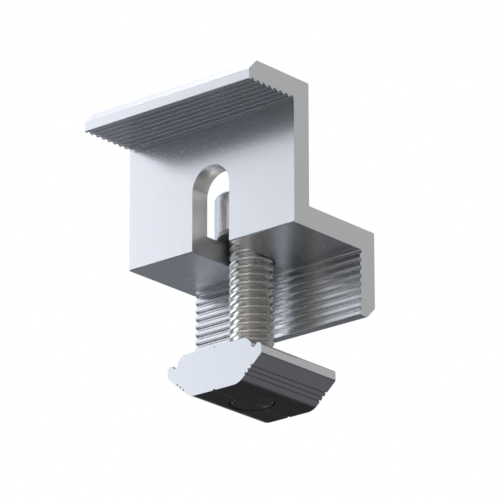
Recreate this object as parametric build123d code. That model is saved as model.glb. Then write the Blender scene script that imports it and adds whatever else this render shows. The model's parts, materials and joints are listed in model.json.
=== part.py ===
from build123d import *
import math
import os

# End clamp for a framed solar panel: a Z-shaped extrusion, the cap screw through it and the nut in the rail.
# Lengths are in millimetres. +Z is up along the screw, -Y points at the panel, X runs along the extrusion.
# The origin is on the screw's axis, in the plane of the rail's top on which the clamp's foot stands.

# Clamp body
clamp_length = 38.0
wall = 4.0
panel_height = 35.0
panel_bite = 0.15
lip_reach = 11.9
lip_chamfer = 2.0
leg_depth = 12.1
leg_chamfer = 2.1
axis_to_leg = 6.75
corner_radius = 0.2
arch_above_flange = 11.25

# Half-round serrations on the lip and the leg
serration_radius = 0.47
serration_depth = 0.44
serration_pitch = 1.5
first_on_lip = 0.5
first_on_leg = 0.4
serration_margin = 0.3

# Cap screw
thread_diameter = 7.9
screw_length = 30.0
tip_chamfer = 0.5
head_diameter = 13.0
head_height = 8.0
head_rounding = 0.7
head_foot_bevel = 0.35
head_foot_height = 0.6
socket_flats = 6.0
socket_depth = 4.0
socket_lead = 0.25
drill_point_angle = 118.0

# Channel nut
nut_length = 20.0
nut_height = 7.95
boss_width = 16.7
boss_bevel_width = 1.15
boss_bevel_height = 1.1
boss_rounding = 0.3
channel_radius = 0.6
hook_drop = 1.5
hook_width = 1.1
hook_side_height = 2.03
hook_inner_rounding = 0.25
hook_outer_rounding = 0.7
side_rounding = 0.5
bevel_width = 5.13
base_rounding = 3.3
countersink = 0.4

# Fine grooves in the nut
mark_radius = 0.3
mark_depth = 0.22
bevel_groove_width = 0.3
bevel_groove_depth = 0.32
bevel_groove_pitch = 0.92
bevel_groove_first = 2.77
bevel_groove_count = 3

# Clearances
slot_clearance = 0.3
head_clearance = 0.5
thread_clearance = 0.05
cut_margin = 1.0

# Places worked out from the sizes
slot_width = thread_diameter + 2 * slot_clearance
web_back = -(head_diameter / 2 + head_clearance)
web_front = web_back - wall
lip_tip = web_front - lip_reach
leg_outer = axis_to_leg + wall
flange_under = leg_depth
flange_top = flange_under + wall
lip_under = panel_height - panel_bite
clamp_top = lip_under + wall
arch_centre = flange_top + arch_above_flange - slot_width / 2
screw_tip = flange_top - screw_length
nut_bottom = screw_tip
nut_top = nut_bottom + nut_height
nut_width = boss_width + 4 * channel_radius + 2 * hook_width
base_width = nut_width - 2 * bevel_width


def groove_places(first, length):
    """Distances of the serrations' centres from the corner at which a wall of this length starts."""
    last = length - serration_margin - serration_radius
    count = int((last - first) / serration_pitch) + 1
    return [first + serration_pitch * i for i in range(count)]


def groove(position, outward, radius, depth):
    """Disc that cuts a round groove of this depth at a point of an outline. Outward points to the air."""
    centre = Vector(*position) + Vector(*outward).normalized() * (radius - depth)
    return Pos(centre.X, centre.Y) * Circle(radius)


def straight_groove(position, outward, width, depth):
    """Bar that cuts a groove with upright walls and a flat floor at a point of an outline."""
    turn = math.degrees(math.atan2(outward[1], outward[0]))
    return Pos(*position) * Rot(Z=turn) * Rectangle(2 * depth, width)


def nearest_corner(section, x, y):
    """Corner of the section that lies closest to a point of its plane."""
    return section.vertices().sort_by_distance((x, y, 0))[0]


def round_ended_slot(length):
    """Slot of the clamp's slot width: round end centred on the origin, straight sides running down -Y."""
    straight = Pos(0, -length / 2) * Rectangle(slot_width, length)
    return Circle(slot_width / 2) + straight


def clamp_section():
    """Z-shaped section in (Y, Z): lip over the panel, web, flange under the screw's head, leg on the rail."""
    outline = Polyline(
        (lip_tip, lip_under),
        (web_front, lip_under),
        (web_front, flange_under),
        (axis_to_leg, flange_under),
        (axis_to_leg, 0),
        (leg_outer - leg_chamfer, 0),
        (leg_outer, leg_chamfer),
        (leg_outer, flange_top),
        (web_back, flange_top),
        (web_back, clamp_top),
        (lip_tip + lip_chamfer, clamp_top),
        (lip_tip, clamp_top - lip_chamfer),
        close=True,
    )
    section = make_face(outline)
    section = fillet(section.vertices(), corner_radius)
    for place in groove_places(first_on_lip, lip_reach):
        section -= groove((web_front - place, lip_under), (0, -1), serration_radius, serration_depth)
    for place in groove_places(first_on_leg, leg_depth):
        section -= groove((axis_to_leg, flange_under - place), (-1, 0), serration_radius, serration_depth)
    return section


def clamp_body():
    """Length of the extrusion with the arched slot milled through its web and on through its flange."""
    body = extrude(Plane.YZ * clamp_section(), amount=clamp_length / 2, both=True)
    arch_plane = Plane(origin=(0, web_back + cut_margin, arch_centre), x_dir=(1, 0, 0), z_dir=(0, -1, 0))
    arch = arch_plane * round_ended_slot(arch_centre - flange_under + cut_margin)
    body -= extrude(arch, amount=wall + 2 * cut_margin)
    flange_slot = Pos(0, 0, flange_under - cut_margin) * round_ended_slot(cut_margin - web_front)
    body -= extrude(flange_slot, amount=wall + 2 * cut_margin)
    return body


def hex_socket():
    """Hexagon socket with a conical mouth and the drill point left under it, to cut from the head."""
    head_top = flange_top + head_height
    flats_radius = socket_flats / 2
    corner = flats_radius / math.cos(math.radians(30))
    hexagon = RegularPolygon(flats_radius, 6, major_radius=False)
    prism = extrude(Pos(0, 0, head_top - socket_depth) * hexagon, amount=socket_depth + cut_margin)
    point_depth = flats_radius / math.tan(math.radians(drill_point_angle / 2))
    point = Cone(0, flats_radius, point_depth, align=(Align.CENTER, Align.CENTER, Align.MAX))
    mouth = corner + socket_lead
    lead = Cone(flats_radius, mouth, mouth - flats_radius, align=(Align.CENTER, Align.CENTER, Align.MAX))
    return prism + Pos(0, 0, head_top - socket_depth) * point + Pos(0, 0, head_top) * lead


def socket_screw():
    """Cap screw seated on the flange, its tip flush with the nut's underside. The thread is a plain shank."""
    shank = thread_diameter / 2
    rim = head_diameter / 2
    head_top = flange_top + head_height
    profile = Polyline(
        (0, screw_tip),
        (shank - tip_chamfer, screw_tip),
        (shank, screw_tip + tip_chamfer),
        (shank, flange_top),
        (rim - head_foot_bevel, flange_top),
        (rim, flange_top + head_foot_height),
        (rim, head_top),
        (0, head_top),
        close=True,
    )
    screw = revolve(Plane.XZ * make_face(profile), Axis.Z)
    screw = fillet(screw.edges().filter_by(GeomType.CIRCLE).sort_by(Axis.Z)[-1], head_rounding)
    return screw - hex_socket()


def nut_half_section():
    """Half of the nut's section in (X, Z), with the boss's top at height 0 and the screw's axis at X 0."""
    boss_side = boss_width / 2
    side = nut_width / 2
    bevel_start = -hook_drop - hook_side_height
    base_corner = base_width / 2
    outline = Polyline(
        (0, 0),
        (boss_side - boss_bevel_width, 0),
        (boss_side, -boss_bevel_height),
        (boss_side, -hook_drop),
        (side, -hook_drop),
        (side, bevel_start),
        (base_corner, -nut_height),
        (0, -nut_height),
        close=True,
    )
    half = make_face(outline)
    hook_inside = boss_side + 2 * channel_radius
    half -= Pos(boss_side + channel_radius, -hook_drop) * Circle(channel_radius)
    half = fillet(nearest_corner(half, boss_side - boss_bevel_width, 0), boss_rounding)
    half = fillet(nearest_corner(half, boss_side, -boss_bevel_height), boss_rounding)
    half = fillet(nearest_corner(half, hook_inside, -hook_drop), hook_inner_rounding)
    half = fillet(nearest_corner(half, side, -hook_drop), hook_outer_rounding)
    half = fillet(nearest_corner(half, side, bevel_start), side_rounding)
    half = fillet(nearest_corner(half, base_corner, -nut_height), base_rounding)
    bevel_from = Vector(side, bevel_start)
    bevel = (Vector(base_corner, -nut_height) - bevel_from).normalized()
    outward = (-bevel.Y, bevel.X)
    for i in range(bevel_groove_count):
        place = bevel_from + bevel * (bevel_groove_first + bevel_groove_pitch * i)
        half -= straight_groove((place.X, place.Y), outward, bevel_groove_width, bevel_groove_depth)
    return half


def nut_section():
    """Whole section of the nut, symmetric about the screw's axis, with a mark line at top and bottom."""
    half = nut_half_section()
    section = half + mirror(half, Plane.YZ)
    section -= groove((0, 0), (0, 1), mark_radius, mark_depth)
    section -= groove((0, -nut_height), (0, -1), mark_radius, mark_depth)
    return section


def channel_nut():
    """Length of the nut's extrusion, drilled through for the screw and countersunk on the side it enters."""
    section_plane = Plane(origin=(0, 0, nut_top), x_dir=(1, 0, 0), z_dir=(0, -1, 0))
    nut = extrude(section_plane * nut_section(), amount=nut_length / 2, both=True)
    bore = thread_diameter / 2 + thread_clearance
    middle = (nut_top + nut_bottom) / 2
    nut -= Pos(0, 0, middle) * Cylinder(bore, nut_height + 2 * cut_margin)
    mouth = Cone(bore, bore + countersink, countersink, align=(Align.CENTER, Align.CENTER, Align.MAX))
    return nut - Pos(0, 0, nut_top) * mouth


os.makedirs("parts", exist_ok=True)
export_step(clamp_body(), "parts/clamp_body.step")
export_step(socket_screw(), "parts/socket_screw.step")
export_step(channel_nut(), "parts/channel_nut.step")
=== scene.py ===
import json
import math

import bmesh
import bpy
import numpy as np
from mathutils import Matrix, Vector


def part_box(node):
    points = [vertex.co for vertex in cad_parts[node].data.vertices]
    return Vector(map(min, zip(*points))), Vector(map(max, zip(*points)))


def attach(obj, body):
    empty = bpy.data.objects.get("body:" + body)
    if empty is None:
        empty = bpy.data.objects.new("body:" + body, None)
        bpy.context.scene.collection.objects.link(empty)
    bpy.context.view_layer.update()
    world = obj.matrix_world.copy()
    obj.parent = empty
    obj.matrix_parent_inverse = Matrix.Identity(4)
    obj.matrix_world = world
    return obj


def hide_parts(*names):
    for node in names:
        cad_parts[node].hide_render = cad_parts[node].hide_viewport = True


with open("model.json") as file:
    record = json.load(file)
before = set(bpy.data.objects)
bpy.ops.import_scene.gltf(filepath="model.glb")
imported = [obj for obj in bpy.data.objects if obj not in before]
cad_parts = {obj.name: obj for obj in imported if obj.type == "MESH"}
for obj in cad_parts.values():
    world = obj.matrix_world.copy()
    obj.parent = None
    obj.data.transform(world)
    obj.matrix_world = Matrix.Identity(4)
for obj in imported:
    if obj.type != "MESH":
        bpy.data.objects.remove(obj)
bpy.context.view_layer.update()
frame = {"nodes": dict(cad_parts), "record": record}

# An end clamp for framed solar panels hangs in a white studio, seen from below.
# Lengths are in metres. The frame's origin is on the screw's axis, in the plane of the rail's top.
MM = 0.001

# Cap screw, placed by the frame's plain one
screw_low, screw_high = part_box("socket_screw")
tip_height = screw_low.z
head_top = screw_high.z
rim_radius = screw_high.x
head_height = 8 * MM
under_head = head_top - head_height
head_rounding = 0.7 * MM
head_foot_bevel = 0.35 * MM
head_foot_height = 0.6 * MM
shank_radius = 3.95 * MM
tip_chamfer = 0.5 * MM

# Hexagon socket in its head, with a conical mouth and the drill point left under it
half_flats = 3 * MM
socket_depth = 4 * MM
socket_lead = 0.25 * MM
drill_point_angle = math.radians(118)
socket_mouth = half_flats / math.cos(math.pi / 6) + socket_lead
socket_floor = head_top - socket_depth
socket_point = socket_floor - half_flats / math.tan(drill_point_angle / 2)

# Thread: one pitch is what the nut climbs in a turn
thread_pitch = frame["record"]["behaviour"]["couplings"][0]["ratio"] * 2 * math.pi
thread_depth = 0.55 * thread_pitch
crest_fullness = 2.4
thread_start_turn = 0.5
runout_gap = 0.3 * MM
runout_length = 1.0 * MM

# Screw's mesh
screw_columns = 96
rows_per_pitch = 32
rounding_rows = 6
crease_angle = math.radians(28)

# Metals: their grain runs from a dark to a light colour and spreads their roughness to both sides
aluminium_dark = (0.765, 0.775, 0.79, 1)
aluminium_light = (0.88, 0.89, 0.905, 1)
nut_dark = (0.7, 0.71, 0.73, 1)
nut_light = (0.81, 0.825, 0.845, 1)
aluminium_roughness = 0.26
aluminium_spread = 0.015
steel_dark = (0.8, 0.79, 0.76, 1)
steel_light = (0.88, 0.87, 0.84, 1)
steel_roughness = 0.26
steel_spread = 0.03
steel_anisotropy = 0.8
quarter_turn = 0.25

# Sawn ends: the least cosine between their normal and the extrusion's axis, and the roughness they add
sawn_cosine = 0.97
sawn_roughness = 0.1

# Grain: its size, how far it is drawn out along an extrusion and around the screw, its noise and bumps
grain_size = 0.16 * MM
grain_stretch = 5.0
ring_stretch = (8, 8, 1)
grain_detail = 3.0
grain_fineness = 0.6
grain_low = 0.3
grain_high = 0.7
bump_strength = 0.01
bump_height = 0.05 * MM

# Camera, as fitted to the straight edges of the clamp, its lens and sensor in millimetres
camera_place = Vector((482.14, -565.94, -259.57)) * MM
camera_azimuth = math.radians(40.45)
camera_elevation = math.radians(-20.24)
camera_roll = math.radians(-0.07)
camera_lens = 324.84
camera_sensor = 36.0
camera_nearest = 0.05
camera_farthest = 50.0

# Studio floor, a little under the camera, the lamp over it and the soft light all around
floor_drop = 300 * MM
floor_size = 8.0
floor_colour = (0.86, 0.87, 0.88, 1)
floor_roughness = 0.7
lamp_place = Vector((-0.9, -1.1, 1.9))
lamp_size = 1.2
lamp_power = 22.0
world_colour = (0.9, 0.94, 1, 1)
world_strength = 0.7
white = (1, 1, 1, 1)

# Studio shell: soft panels around the clamp on a grey wall, which the metal reflects.
# Each has a name, azimuth, elevation, half width, half height and edge in degrees, and a colour.
# Azimuth runs from +X towards +Y. A later panel lies over an earlier one.
shell_radius = 3.0
shell_subdivisions = 4
wall_colour = (0.12, 0.12, 0.12)
studio_panels = [
    ("ceiling", 0, 72, 180, 27, 16, (0.38, 0.34, 0.3)),
    ("top_key", 185, 66, 58, 20, 14, (2.0, 2.0, 2.1)),
    ("floor_well", 0, -72, 180, 24, 14, (0.05, 0.05, 0.05)),
    ("back_wall", 113, 22, 34, 24, 14, (0.4, 0.39, 0.37)),
    ("right_fill", 47, 28, 28, 20, 10, (0.515, 0.515, 0.515)),
    ("front_fill", 325, 20, 26, 26, 10, (0.38, 0.36, 0.36)),
    ("front_corner", 4, 14, 15, 32, 8, (0.22, 0.22, 0.22)),
    ("front_strip", 284, 10, 14, 26, 12, (0.7, 0.7, 0.7)),
    ("front_low", 310, -32, 60, 16, 14, (0.2, 0.2, 0.2)),
    ("side_fill", 253, 24, 18, 24, 8, (0.48, 0.49, 0.52)),
    ("left_fill", 165, 20, 20, 26, 8, (0.6, 0.68, 0.8)),
    ("key", 203, 12, 20, 20, 8, (2.7, 2.85, 3.1)),
    ("key_edge", 227, 26, 6, 25, 4, (0.81, 0.83, 0.89)),
    ("left_low", 184, -26, 34, 20, 10, (0.35, 0.39, 0.46)),
    ("flange_well", 231, -18, 12, 14, 6, (0.01, 0.01, 0.01)),
    ("back_low", 102, -8, 40, 13, 10, (0.22, 0.23, 0.25)),
    ("back_under", 130, -28, 22, 12, 10, (0.16, 0.17, 0.19)),
    ("right_low", 78, -36, 18, 14, 10, (0.13, 0.13, 0.14)),
    ("right_under", 44, -18, 18, 12, 8, (0.07, 0.07, 0.07)),
]

# Painted shade: a dark flag, seen only in reflections, which the nut's underside reflects so that it looks
# dark. It is a level rectangle from one corner to the other
flag_drop = 3 * MM
painted_shade_colour = (0.025, 0.025, 0.025)
flag_from = Vector((-34, -14, 0)) * MM
flag_to = Vector((6.5, 40, 0)) * MM

# Colour sockets of a Mix node, by number because its other sockets have the same names
mix_share, mix_first, mix_second = 0, 6, 7
mix_result = 2


def scene_object(name, data):
    """Puts a mesh, a light or a camera into the scene as an object."""
    made = bpy.data.objects.new(name, data)
    bpy.context.scene.collection.objects.link(made)
    return made


def surface_object(name, points, faces):
    """Makes an object of an array of points and a list of faces, smooth but for its sharp creases."""
    mesh = bpy.data.meshes.new(name)
    mesh.from_pydata(points.tolist(), [], faces)
    mesh.update()
    mesh.shade_smooth()
    mesh.set_sharp_from_angle(angle=crease_angle)
    return scene_object(name, mesh)


def lathe_faces(rows, columns):
    """Quads between neighbouring rows of a closed ring of columns, then a fan to each of two poles.

    Point row * columns + column is on the grid. The poles of the first and of the last row follow the grid.
    """
    row, column = np.meshgrid(np.arange(rows - 1), np.arange(columns), indexing="ij")
    following = (column + 1) % columns
    here, above = row * columns, (row + 1) * columns
    quads = np.stack([here + column, here + following, above + following, above + column], axis=-1)
    ring = np.arange(columns)
    turned = (ring + 1) % columns
    first_pole, last_pole = rows * columns, rows * columns + 1
    first_fan = np.stack([turned, ring, np.full(columns, first_pole)], axis=-1)
    last = (rows - 1) * columns
    last_fan = np.stack([last + ring, last + turned, np.full(columns, last_pole)], axis=-1)
    return quads.reshape(-1, 4).tolist() + first_fan.tolist() + last_fan.tolist()


def thread_radius(height, turn):
    """Radius of the right-hand, round-crested thread at a height and a share of a turn.

    The phase is the height in pitches, less the share of a turn, plus the one at which the thread starts.
    Its distance from the crest, from 0 to 1 at the root, is raised to the power of the crest's fullness.
    That share of the depth is taken off the shank. The cut fades out under the head, and a cone cuts the tip.
    """
    phase = (height / thread_pitch - turn + thread_start_turn) % 1
    from_crest = 2 * np.abs(phase - 0.5)
    fade = np.clip((under_head - runout_gap - height) / runout_length, 0, 1)
    cut = shank_radius - thread_depth * from_crest**crest_fullness * fade
    return np.minimum(cut, shank_radius - tip_chamfer + (height - tip_height))


def socket_radius(turn):
    """Distance from the axis to the wall of the hexagon socket at a share of a turn.

    It is half the width across flats over the cosine of the angle from the middle of the nearest flat.
    """
    sixth = math.pi / 3
    off_flat = (turn * 2 * math.pi + sixth / 2) % sixth - sixth / 2
    return half_flats / np.cos(off_flat)


def cap_screw():
    """Socket cap screw as one closed lathe surface, a radius and a height for each row and share of a turn.

    The rows climb the threaded shank and the head's foot, side and rounding. From the socket's mouth they
    go down a cone at 45 degrees to the hexagon, down its wall and along its floor to the drill point.
    """
    turn = np.arange(screw_columns) / screw_columns
    all_round = np.ones(screw_columns)
    shank_rows = int(round((under_head - tip_height) / thread_pitch * rows_per_pitch))
    shank_heights = np.outer(np.linspace(tip_height, under_head, shank_rows), all_round)
    shank_radii = thread_radius(shank_heights, turn)

    bend = np.linspace(0, math.pi / 2, rounding_rows)
    side_radius = [rim_radius - head_foot_bevel, rim_radius]
    side_height = [under_head, under_head + head_foot_height]
    rounding_radius = rim_radius - head_rounding * (1 - np.cos(bend))
    rounding_height = head_top - head_rounding * (1 - np.sin(bend))
    head_radii = np.outer([*side_radius, *rounding_radius, socket_mouth], all_round)
    head_heights = np.outer([*side_height, *rounding_height, head_top], all_round)

    hexagon = socket_radius(turn)
    socket_radii = np.stack([hexagon, hexagon, half_flats * all_round])
    cone_foot = head_top - (socket_mouth - hexagon)
    socket_heights = np.stack([cone_foot, socket_floor * all_round, socket_floor * all_round])

    radius = np.concatenate([shank_radii, head_radii, socket_radii])
    height = np.concatenate([shank_heights, head_heights, socket_heights])
    angle = turn * 2 * math.pi
    grid = np.stack([radius * np.cos(angle), radius * np.sin(angle), height], axis=-1).reshape(-1, 3)
    poles = [[0, 0, tip_height], [0, 0, socket_point]]
    return surface_object("cap_screw", np.concatenate([grid, poles]), lathe_faces(len(radius), screw_columns))


def add_node(tree, kind, inputs, **settings):
    """Adds a node with these settings. Each input named here is linked to a socket or set to a value."""
    made = tree.nodes.new(kind)
    for name, value in settings.items():
        setattr(made, name, value)
    for name, value in inputs.items():
        if isinstance(value, bpy.types.NodeSocket):
            tree.links.new(value, made.inputs[name])
        else:
            made.inputs[name].default_value = value
    return made


def calculate(tree, operation, *values):
    """Adds a math node and gives the socket of its result."""
    return add_node(tree, "ShaderNodeMath", dict(enumerate(values)), operation=operation).outputs["Value"]


def combine_vectors(tree, operation, first, second):
    """Adds a vector math node and gives its outputs."""
    return add_node(tree, "ShaderNodeVectorMath", {0: first, 1: second}, operation=operation).outputs


def mix_colours(tree, share, first, second):
    """Adds a node that mixes two colours and gives the socket of the mixed colour."""
    inputs = {mix_share: share, mix_first: first, mix_second: second}
    return add_node(tree, "ShaderNodeMix", inputs, data_type="RGBA").outputs[mix_result]


def node_group(name, inputs, outputs):
    """Makes a node group with named inputs and outputs, and gives it with the sockets of both inside it."""
    group = bpy.data.node_groups.new(name, "ShaderNodeTree")
    for in_out, sockets in (("INPUT", inputs), ("OUTPUT", outputs)):
        for socket_name, kind in sockets.items():
            group.interface.new_socket(name=socket_name, in_out=in_out, socket_type=kind)
    return group, group.nodes.new("NodeGroupInput").outputs, group.nodes.new("NodeGroupOutput").inputs


def use_group(tree, group, inputs, label=""):
    """Adds a group's node to a tree, with these inputs linked or set, and gives its outputs."""
    return add_node(tree, "ShaderNodeGroup", inputs, node_tree=group, label=label).outputs


def brushed_grain_group():
    """Fine grain of a satin metal, drawn out along one axis: a value around 0.5 and the bumps it makes."""
    group, given, result = node_group(
        "brushed_grain",
        {"Place": "NodeSocketVector", "Stretch": "NodeSocketVector", "Grain Size": "NodeSocketFloat"},
        {"Grain": "NodeSocketFloat", "Normal": "NodeSocketVector"},
    )
    noise = add_node(group, "ShaderNodeTexNoise", {
        "Vector": combine_vectors(group, "DIVIDE", given["Place"], given["Stretch"])["Vector"],
        "Scale": calculate(group, "DIVIDE", 1.0, given["Grain Size"]),
        "Detail": grain_detail,
        "Roughness": grain_fineness,
    })
    bump = add_node(group, "ShaderNodeBump", {
        "Height": noise.outputs["Fac"],
        "Strength": bump_strength,
        "Distance": bump_height,
    })
    group.links.new(noise.outputs["Fac"], result["Grain"])
    group.links.new(bump.outputs["Normal"], result["Normal"])
    return group


def cut_end_group():
    """Mask of the sawn faces, whose normal lies along the given axis of the object."""
    group, given, result = node_group(
        "cut_end",
        {"Normal": "NodeSocketVector", "Axis": "NodeSocketVector"},
        {"Mask": "NodeSocketFloat"},
    )
    along = combine_vectors(group, "DOT_PRODUCT", given["Normal"], given["Axis"])["Value"]
    facing = calculate(group, "ABSOLUTE", along)
    group.links.new(calculate(group, "GREATER_THAN", facing, sawn_cosine), result["Mask"])
    return group


def direction_group():
    """Azimuth and elevation, in radians, of a place seen from the object's origin."""
    group, given, result = node_group(
        "direction",
        {"Place": "NodeSocketVector"},
        {"Azimuth": "NodeSocketFloat", "Elevation": "NodeSocketFloat"},
    )
    parts = add_node(group, "ShaderNodeSeparateXYZ", {"Vector": given["Place"]}).outputs
    azimuth = calculate(group, "ARCTAN2", parts["Y"], parts["X"])
    square_x = calculate(group, "MULTIPLY", parts["X"], parts["X"])
    square_level = calculate(group, "MULTIPLY_ADD", parts["Y"], parts["Y"], square_x)
    level = calculate(group, "SQRT", square_level)
    elevation = calculate(group, "ARCTAN2", parts["Z"], level)
    group.links.new(azimuth, result["Azimuth"])
    group.links.new(elevation, result["Elevation"])
    return group


def soft_panel_group():
    """Panel of one colour with soft edges over what lies behind it, by azimuth and elevation in radians."""
    group, given, result = node_group(
        "soft_panel",
        {
            "Azimuth": "NodeSocketFloat",
            "Elevation": "NodeSocketFloat",
            "Centre Azimuth": "NodeSocketFloat",
            "Centre Elevation": "NodeSocketFloat",
            "Half Width": "NodeSocketFloat",
            "Half Height": "NodeSocketFloat",
            "Edge": "NodeSocketFloat",
            "Panel": "NodeSocketColor",
            "Behind": "NodeSocketColor",
        },
        {"Colour": "NodeSocketColor"},
    )
    across = calculate(group, "SUBTRACT", given["Azimuth"], given["Centre Azimuth"])
    wrapped = calculate(group, "WRAP", across, math.pi, -math.pi)
    up = calculate(group, "SUBTRACT", given["Elevation"], given["Centre Elevation"])
    half_edge = calculate(group, "MULTIPLY", given["Edge"], 0.5)
    masks = []
    for offset, half_size in ((wrapped, given["Half Width"]), (up, given["Half Height"])):
        ramp = add_node(group, "ShaderNodeMapRange", {
            "Value": calculate(group, "ABSOLUTE", offset),
            "From Min": calculate(group, "ADD", half_size, half_edge),
            "From Max": calculate(group, "SUBTRACT", half_size, half_edge),
        }, interpolation_type="SMOOTHSTEP")
        masks.append(ramp.outputs["Result"])
    mask = calculate(group, "MULTIPLY", *masks)
    group.links.new(mix_colours(group, mask, given["Behind"], given["Panel"]), result["Colour"])
    return group


def new_material(name):
    """Makes a material with an empty node tree, and gives it with its tree."""
    material = bpy.data.materials.new(name)
    material.use_nodes = True
    material.node_tree.nodes.clear()
    return material, material.node_tree


def add_surface(tree, kind, inputs):
    """Adds the shader of this kind, and the material's output for it."""
    shader = add_node(tree, kind, inputs)
    output = tree.nodes.new("ShaderNodeOutputMaterial")
    tree.links.new(shader.outputs[0], output.inputs["Surface"])


def grained_metal(tree, place, stretch, dark, light, roughness, spread):
    """Adds the grain of a metal, and gives the inputs of a shader that shows it."""
    grain = use_group(tree, brushed_grain, {"Place": place, "Stretch": stretch, "Grain Size": grain_size})
    spread_roughness = add_node(tree, "ShaderNodeMapRange", {
        "Value": grain["Grain"],
        "From Min": grain_low,
        "From Max": grain_high,
        "To Min": roughness - spread,
        "To Max": roughness + spread,
    })
    return {
        "Base Color": mix_colours(tree, grain["Grain"], dark, light),
        "Metallic": 1.0,
        "Roughness": spread_roughness.outputs["Result"],
        "Normal": grain["Normal"],
    }


def satin_aluminium(name, dark, light, axis):
    """Satin aluminium, its fine grain drawn out along the extrusion's axis, duller on its sawn ends."""
    material, tree = new_material(name)
    place = tree.nodes.new("ShaderNodeTexCoord").outputs
    stretch = [grain_stretch if part else 1 for part in axis]
    metal = grained_metal(tree, place["Object"], stretch, dark, light, aluminium_roughness, aluminium_spread)
    ends = use_group(tree, cut_end, {"Normal": place["Normal"], "Axis": axis})["Mask"]
    metal["Roughness"] = calculate(tree, "MULTIPLY_ADD", ends, sawn_roughness, metal["Roughness"])
    add_surface(tree, "ShaderNodeBsdfPrincipled", metal)
    return material


def bright_steel(name):
    """Bright steel with faint turned rings around the axis, across which its gloss is drawn up and down."""
    material, tree = new_material(name)
    place = tree.nodes.new("ShaderNodeTexCoord").outputs["Object"]
    metal = grained_metal(tree, place, ring_stretch, steel_dark, steel_light, steel_roughness, steel_spread)
    around = {"Vector": combine_vectors(tree, "CROSS_PRODUCT", place, (0, 0, 1))["Vector"]}
    tangent = add_node(tree, "ShaderNodeVectorTransform", around, convert_from="OBJECT", convert_to="WORLD")
    metal["Anisotropic"] = steel_anisotropy
    metal["Anisotropic Rotation"] = quarter_turn
    metal["Tangent"] = tangent.outputs["Vector"]
    add_surface(tree, "ShaderNodeBsdfPrincipled", metal)
    return material


def dress(piece, material):
    """Gives the piece this one material."""
    piece.data.materials.clear()
    piece.data.materials.append(material)


def stage_object(name, shape, material):
    """Makes a stage object of a bmesh, which is used up, in one material."""
    mesh = bpy.data.meshes.new(name)
    shape.to_mesh(mesh)
    shape.free()
    piece = scene_object(name, mesh)
    dress(piece, material)
    return piece


def level_rectangle(middle, width, depth):
    """Makes a bmesh of a level rectangle, its width in X and its depth in Y."""
    shape = bmesh.new()
    matrix = Matrix.Translation(middle) @ Matrix.Diagonal((width / 2, depth / 2, 1, 1))
    bmesh.ops.create_grid(shape, x_segments=1, y_segments=1, size=1, matrix=matrix)
    return shape


def show_only_in_reflections(piece):
    """Hides a stage object from all but glossy rays."""
    for rays in ("camera", "diffuse", "transmission", "volume_scatter", "shadow"):
        setattr(piece, "visible_" + rays, False)


def studio_shell():
    """Sphere around the clamp that shines in the wall's colour and, over it, in one colour for each panel."""
    material, tree = new_material("studio_shell")
    place = tree.nodes.new("ShaderNodeTexCoord").outputs["Object"]
    angles = use_group(tree, direction, {"Place": place})
    light = (*wall_colour, 1)
    for name, *degrees, colour in studio_panels:
        azimuth, elevation, half_width, half_height, edge = map(math.radians, degrees)
        light = use_group(tree, soft_panel, {
            "Azimuth": angles["Azimuth"],
            "Elevation": angles["Elevation"],
            "Centre Azimuth": azimuth,
            "Centre Elevation": elevation,
            "Half Width": half_width,
            "Half Height": half_height,
            "Edge": edge,
            "Panel": (*colour, 1),
            "Behind": light,
        }, label=name)["Colour"]
    add_surface(tree, "ShaderNodeEmission", {"Color": light})
    material.cycles.emission_sampling = "NONE"
    shape = bmesh.new()
    bmesh.ops.create_icosphere(shape, subdivisions=shell_subdivisions, radius=shell_radius)
    show_only_in_reflections(stage_object("studio_shell", shape, material))


def painted_shade_flag():
    """Level dark rectangle close under the nut, which its underside reflects: painted shade, seen only in
    reflections.
    """
    material, tree = new_material("painted_shade_flag")
    add_surface(tree, "ShaderNodeEmission", {"Color": (*painted_shade_colour, 1)})
    size = flag_to - flag_from
    middle = (flag_from + flag_to) / 2 + Vector((0, 0, tip_height - flag_drop))
    shape = level_rectangle(middle, size.x, size.y)
    show_only_in_reflections(stage_object("painted_shade_flag", shape, material))


def studio_floor():
    """Pale matt floor, left out of the metal's reflections, which come from the shell."""
    material, tree = new_material("studio_floor")
    add_surface(tree, "ShaderNodeBsdfPrincipled", {"Base Color": floor_colour, "Roughness": floor_roughness})
    shape = level_rectangle((0, 0, -floor_drop), floor_size, floor_size)
    floor = stage_object("studio_floor", shape, material)
    floor.visible_glossy = False


def studio_lamp():
    """Large soft lamp over the floor, pointed at the clamp, for its shadow."""
    data = bpy.data.lights.new("studio_lamp", "AREA")
    data.size = lamp_size
    data.energy = lamp_power
    lamp = scene_object("studio_lamp", data)
    lamp.location = lamp_place
    lamp.rotation_euler = lamp_place.to_track_quat("Z", "Y").to_euler()
    lamp.visible_glossy = False


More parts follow.
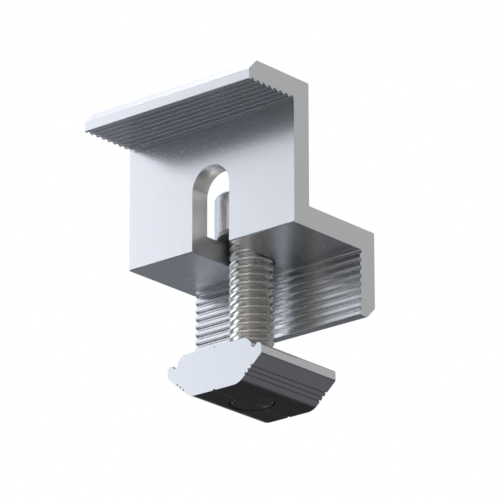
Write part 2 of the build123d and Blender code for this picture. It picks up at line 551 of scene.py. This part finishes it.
def studio_camera():
    """Camera at the place, azimuth, elevation and roll fitted to the clamp's edges."""
    back = Vector((
        math.sin(camera_azimuth) * math.cos(camera_elevation),
        -math.cos(camera_azimuth) * math.cos(camera_elevation),
        math.sin(camera_elevation),
    ))
    level_right = Vector((math.cos(camera_azimuth), math.sin(camera_azimuth), 0))
    level_up = back.cross(level_right)
    right = math.cos(camera_roll) * level_right + math.sin(camera_roll) * level_up
    up = math.cos(camera_roll) * level_up - math.sin(camera_roll) * level_right
    data = bpy.data.cameras.new("studio_camera")
    data.lens = camera_lens
    data.sensor_width = camera_sensor
    data.clip_start = camera_nearest
    data.clip_end = camera_farthest
    camera = scene_object("studio_camera", data)
    rotation = Matrix((right, up, back)).transposed().to_4x4()
    camera.matrix_world = Matrix.Translation(camera_place) @ rotation
    bpy.context.scene.camera = camera


def studio_world():
    """World of plain soft light, white where the camera, glossy or transmitted rays reach it."""
    world = bpy.data.worlds.new("studio_world")
    bpy.context.scene.world = world
    world.use_nodes = True
    tree = world.node_tree
    tree.nodes.clear()
    soft = add_node(tree, "ShaderNodeBackground", {"Color": world_colour, "Strength": world_strength})
    plain = add_node(tree, "ShaderNodeBackground", {"Color": white, "Strength": 1.0})
    rays = tree.nodes.new("ShaderNodeLightPath").outputs
    seen = calculate(tree, "MAXIMUM", rays["Is Camera Ray"], rays["Is Glossy Ray"])
    seen = calculate(tree, "MAXIMUM", seen, rays["Is Transmission Ray"])
    both = {"Fac": seen, 1: soft.outputs["Background"], 2: plain.outputs["Background"]}
    mix = add_node(tree, "ShaderNodeMixShader", both)
    output = tree.nodes.new("ShaderNodeOutputWorld")
    tree.links.new(mix.outputs["Shader"], output.inputs["Surface"])


# Effects that the materials share
brushed_grain = brushed_grain_group()
cut_end = cut_end_group()
direction = direction_group()
soft_panel = soft_panel_group()

# Clamp and nut, extruded along X and along Y
clamp_metal = satin_aluminium("satin_aluminium", aluminium_dark, aluminium_light, (1, 0, 0))
nut_metal = satin_aluminium("nut_metal", nut_dark, nut_light, (0, 1, 0))
dress(frame["nodes"]["clamp_body"], clamp_metal)
dress(frame["nodes"]["channel_nut"], nut_metal)

# Screw with its thread, in place of the plain one
screw = cap_screw()
dress(screw, bright_steel("bright_steel"))
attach(screw, "screw")
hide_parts("socket_screw")

# Studio
studio_shell()
painted_shade_flag()
studio_floor()
studio_lamp()
studio_camera()
studio_world()
bpy.context.scene.view_settings.view_transform = "Standard"
